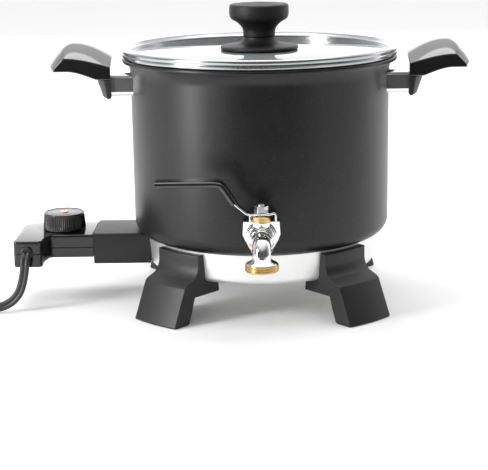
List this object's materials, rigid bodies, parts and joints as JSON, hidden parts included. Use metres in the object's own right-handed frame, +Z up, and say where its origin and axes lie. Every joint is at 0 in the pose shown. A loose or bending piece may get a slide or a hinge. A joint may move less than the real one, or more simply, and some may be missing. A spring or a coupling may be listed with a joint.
{
  "type": "wax melting pot",
  "caption": "Electric candle-wax melting pot: coated pot on a heated base, glass lid with a knob, side handles, ball-valve spout and plug-in temperature probe.",
  "frame": {"origin": "where the pot's axis meets the surface it stands on", "axes": "+Z up along the pot's axis, -Y along the spout, -X along the probe's socket"},
  "size_m": [0.5378, 0.3052, 0.2603],
  "materials": {
    "pot_coating": "matt non-stick coating, finely speckled",
    "base_aluminium": "satin",
    "heater_aluminium": "cast",
    "element_steel": "sheathed tube",
    "insulator": "ceramic white",
    "steel": "bright",
    "foot_plastic": "matt black",
    "socket_plastic": "matt black",
    "handle_plastic": "gloss black",
    "knob_plastic": "matt dark grey",
    "bracket_aluminium": "polished",
    "valve_chrome": "plated",
    "brass": "machined",
    "seal_rubber": "matt",
    "seat_plastic": "white",
    "lever_vinyl": "dipped, gloss black",
    "lid_glass": "clear",
    "rim_steel": "polished",
    "probe_plastic": "gloss black",
    "control_board": "thermostat block",
    "cord_vinyl": "dark grey",
    "plug_vinyl": "black",
    "dial_plastic": "ribbed",
    "dial_print": "printed ring",
    "amber": "translucent amber"
  },
  "bodies": {
    "pot": {"pot_shell": "pot_coating", "base_ring": "base_aluminium", "heating_plate": "heater_aluminium", "heating_element": "element_steel", "element_bushings": "insulator", "sensor_well": "element_steel", "base_stud": "steel", "base_nut": "steel", "socket_housing": "socket_plastic", "socket_screws": "steel", "foot_front_left": "foot_plastic", "foot_front_right": "foot_plastic", "foot_rear_left": "foot_plastic", "foot_rear_right": "foot_plastic", "foot_screws": "steel", "handle_left_grip": "handle_plastic", "handle_left_post": "handle_plastic", "handle_left_bracket": "bracket_aluminium", "handle_right_grip": "handle_plastic", "handle_right_post": "handle_plastic", "handle_right_bracket": "bracket_aluminium", "handle_screws": "steel", "bracket_rivets": "steel", "valve_body": "valve_chrome", "valve_spout": "valve_chrome", "valve_locknut": "valve_chrome", "valve_inner_seal": "seal_rubber", "valve_outer_seal": "seal_rubber", "valve_seats": "seat_plastic", "outlet_thread": "brass", "stem_packing": "seat_plastic", "gland_nut": "brass"},
    "lever": {"valve_ball": "valve_chrome", "valve_stem": "steel", "lever_plate": "steel", "lever_sleeve": "lever_vinyl", "lever_nut": "steel"},
    "lid": {"lid_glass": "lid_glass", "lid_rim": "rim_steel", "knob_head": "knob_plastic", "knob_foot": "knob_plastic", "knob_washer": "seal_rubber", "knob_screw": "steel"},
    "probe": {"probe_upper_shell": "probe_plastic", "probe_lower_shell": "probe_plastic", "probe_screws": "steel", "probe_contacts": "brass", "sensor_rod": "steel", "thermostat": "control_board", "cord_boot": "cord_vinyl", "cord": "cord_vinyl", "cord_coil": "cord_vinyl", "cord_tie": "plug_vinyl", "plug_body": "plug_vinyl", "plug_blades": "brass"},
    "dial": {"dial_knob": "dial_plastic", "dial_plate": "dial_print", "dial_shaft": "steel", "indicator_lens": "amber"}
  },
  "joints": [
    {"name": "lever_turn", "type": "hinge", "parent": "pot", "child": "lever", "pos_m": [0, -0.139, 0.084], "axis": [0, 0, 1], "range_deg": [0, 90]},
    {"name": "lid_lift", "type": "slide", "parent": "pot", "child": "lid", "axis": [0, 0, 1], "range_m": [0, 0.15]},
    {"name": "probe_pull", "type": "slide", "parent": "pot", "child": "probe", "axis": [-1, 0, 0], "range_m": [0, 0.08]},
    {"name": "dial_turn", "type": "hinge", "parent": "probe", "child": "dial", "pos_m": [-0.1776, 0, 0.06], "axis": [0, 0, 1], "range_deg": [0, 280]}
  ]
}
